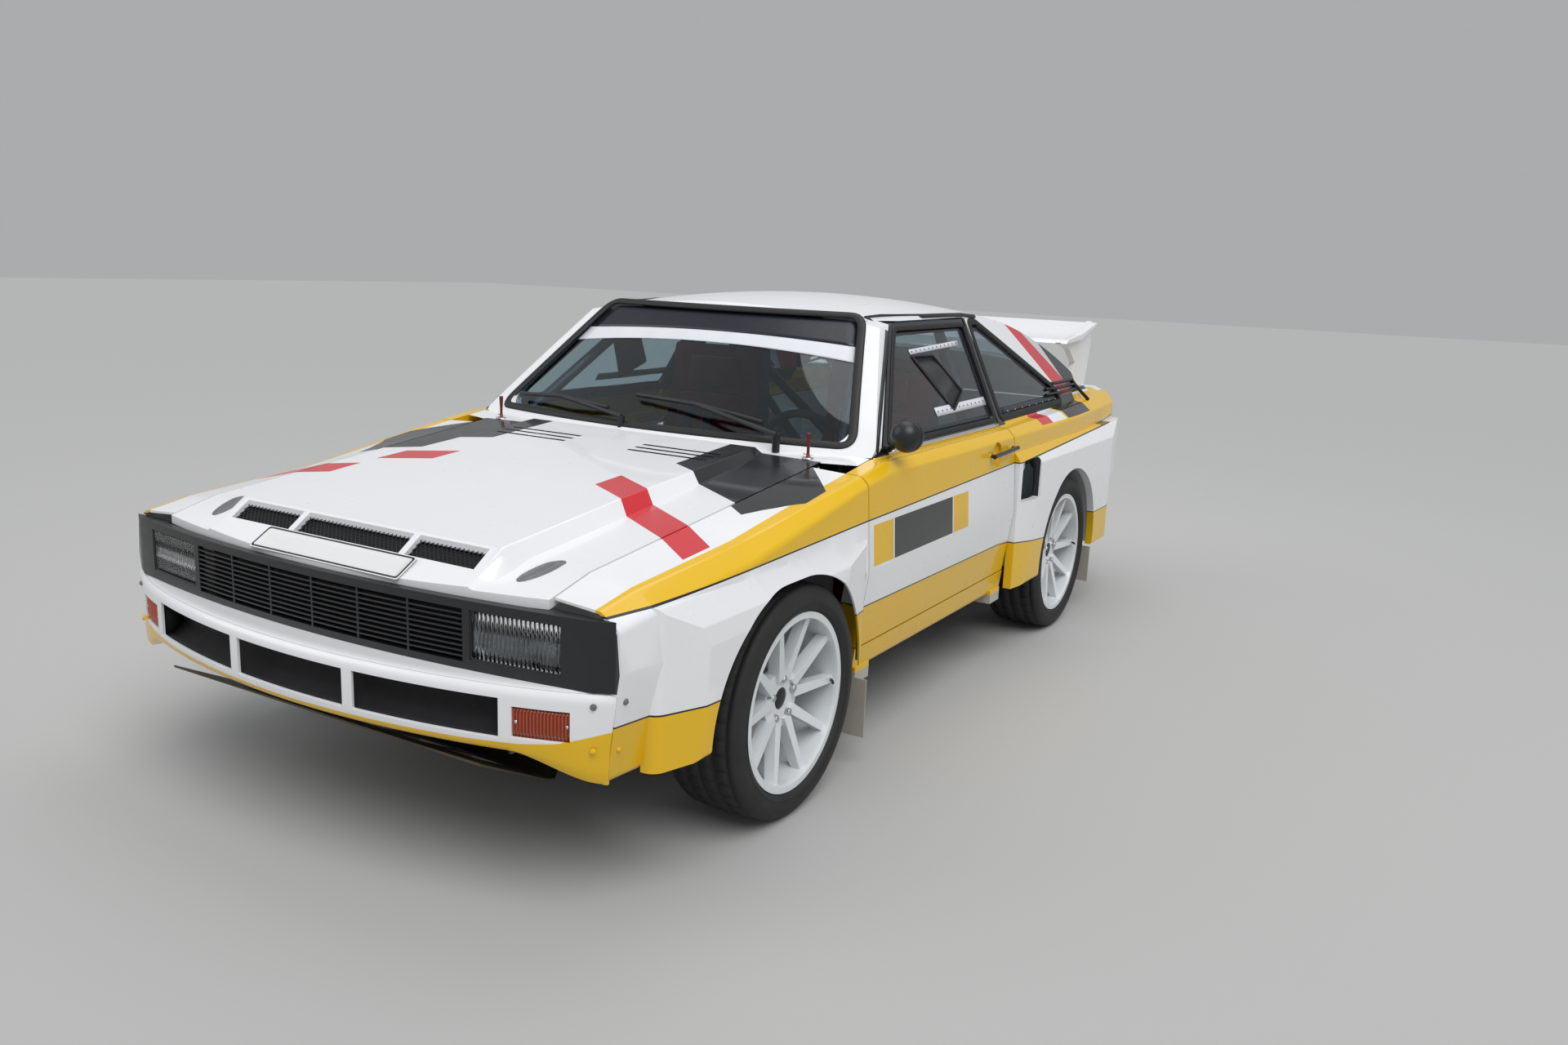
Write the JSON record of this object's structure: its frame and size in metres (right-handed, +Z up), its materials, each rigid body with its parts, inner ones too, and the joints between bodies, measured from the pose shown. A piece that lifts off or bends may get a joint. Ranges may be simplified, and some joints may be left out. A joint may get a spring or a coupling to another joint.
{
  "type": "rally car",
  "caption": "Two-door four-wheel-drive rally coupe of the 1980s with flared wings, rear wing, roll cage, bucket seats, steering, spinning wheels and opening doors, bonnet and boot lid.",
  "frame": {"origin": "on the ground below the middle of the car's length and width", "axes": "+Z up, the nose points along -Y, the driver's left is +X"},
  "size_m": [1.801, 4.16, 1.3468],
  "materials": {
    "body_paint": "gloss",
    "black_trim": "satin",
    "window_glass": "polished",
    "lamp_glass": "polished",
    "amber_lens": "polished",
    "red_lens": "polished",
    "structure": "satin",
    "wheel_white": "painted",
    "tyre_rubber": "matte",
    "steel": "machined",
    "dark_steel": "painted",
    "cast_metal": "cast",
    "seat_fabric": "woven",
    "guard_plate": "dusty",
    "flap_rubber": "matte",
    "hook_paint": "gloss"
  },
  "bodies": {
    "body": {"front_wing_left": "body_paint", "front_wing_right": "body_paint", "roof": "body_paint", "windscreen": "window_glass", "rear_window": "window_glass", "quarter_windows": "window_glass", "scuttle_panel": "black_trim", "quarter_panel_left": "body_paint", "quarter_panel_right": "body_paint", "rear_panels": "body_paint", "tail_lamps": "red_lens", "sills": "body_paint", "grille_panel": "black_trim", "headlamps": "lamp_glass", "front_bumper": "body_paint", "front_indicators": "amber_lens", "sump_guard": "guard_plate", "rear_bumper": "body_paint", "floor_pan": "structure", "firewall": "structure", "inner_wings": "structure", "rear_wheel_houses": "structure", "engine": "cast_metal", "dashboard": "black_trim", "driver_seat": "seat_fabric", "codriver_seat": "seat_fabric", "roll_cage": "structure", "front_subframe_and_arms": "dark_steel", "rear_uprights": "dark_steel", "rear_subframe_and_arms": "dark_steel", "driveline": "cast_metal", "exhaust": "steel", "wipers": "black_trim", "mudflaps": "flap_rubber", "towing_eyes": "hook_paint"},
    "bonnet": {"bonnet": "body_paint"},
    "boot_lid": {"boot_lid": "body_paint", "rear_wing": "body_paint"},
    "steering_wheel": {"steering_wheel": "black_trim"},
    "door_left": {"door_left": "body_paint", "door_window_left": "window_glass", "door_mirror_left": "black_trim"},
    "front_hub_left": {"front_knuckle_left": "dark_steel"},
    "front_wheel_left": {"front_wheel_left": "wheel_white", "front_tyre_left": "tyre_rubber", "front_brake_disc_left": "steel"},
    "rear_wheel_left": {"rear_wheel_left": "wheel_white", "rear_tyre_left": "tyre_rubber", "rear_brake_disc_left": "steel"},
    "door_right": {"door_right": "body_paint", "door_window_right": "window_glass"},
    "front_hub_right": {"front_knuckle_right": "dark_steel"},
    "front_wheel_right": {"front_wheel_right": "wheel_white", "front_tyre_right": "tyre_rubber", "front_brake_disc_right": "steel"},
    "rear_wheel_right": {"rear_wheel_right": "wheel_white", "rear_tyre_right": "tyre_rubber", "rear_brake_disc_right": "steel"}
  },
  "joints": [
    {"name": "left_steer", "type": "hinge", "parent": "body", "child": "front_hub_left", "pos_m": [0.65049, -1.165, 0.32], "axis": [-0.1853, 0, 0.9827], "range_deg": [-28, 28]},
    {"name": "front_left_wheel_spin", "type": "hinge", "parent": "front_hub_left", "child": "front_wheel_left", "pos_m": [0.762, -1.165, 0.32], "axis": [1, 0, 0], "continuous": true},
    {"name": "rear_left_wheel_spin", "type": "hinge", "parent": "body", "child": "rear_wheel_left", "pos_m": [0.755, 1.039, 0.32], "axis": [1, 0, 0], "continuous": true},
    {"name": "left_door_hinge", "type": "hinge", "parent": "body", "child": "door_left", "pos_m": [0.866, -0.748, 0.6], "axis": [0, 0, -1], "range_deg": [0, 65]},
    {"name": "right_steer", "type": "hinge", "parent": "body", "child": "front_hub_right", "pos_m": [-0.65049, -1.165, 0.32], "axis": [0.1853, 0, 0.9827], "range_deg": [-28, 28]},
    {"name": "front_right_wheel_spin", "type": "hinge", "parent": "front_hub_right", "child": "front_wheel_right", "pos_m": [-0.762, -1.165, 0.32], "axis": [1, 0, 0], "continuous": true},
    {"name": "rear_right_wheel_spin", "type": "hinge", "parent": "body", "child": "rear_wheel_right", "pos_m": [-0.755, 1.039, 0.32], "axis": [1, 0, 0], "continuous": true},
    {"name": "right_door_hinge", "type": "hinge", "parent": "body", "child": "door_right", "pos_m": [-0.866, -0.748, 0.6], "axis": [0, 0, 1], "range_deg": [0, 65]},
    {"name": "bonnet_hinge", "type": "hinge", "parent": "body", "child": "bonnet", "pos_m": [0, -0.727, 0.915], "axis": [-1, 0, 0], "range_deg": [0, 55]},
    {"name": "boot_lid_hinge", "type": "hinge", "parent": "body", "child": "boot_lid", "pos_m": [0, 1.614, 1.085], "axis": [1, 0, 0], "range_deg": [0, 45]},
    {"name": "steering_wheel_turn", "type": "hinge", "parent": "body", "child": "steering_wheel", "pos_m": [0.35, -0.22, 0.8], "axis": [0, 0.9135, 0.4067], "range_deg": [-336, 336]}
  ],
  "couplings": [
    {"joint": "right_steer", "follows": "left_steer", "ratio": 1},
    {"joint": "steering_wheel_turn", "follows": "left_steer", "ratio": 12}
  ]
}
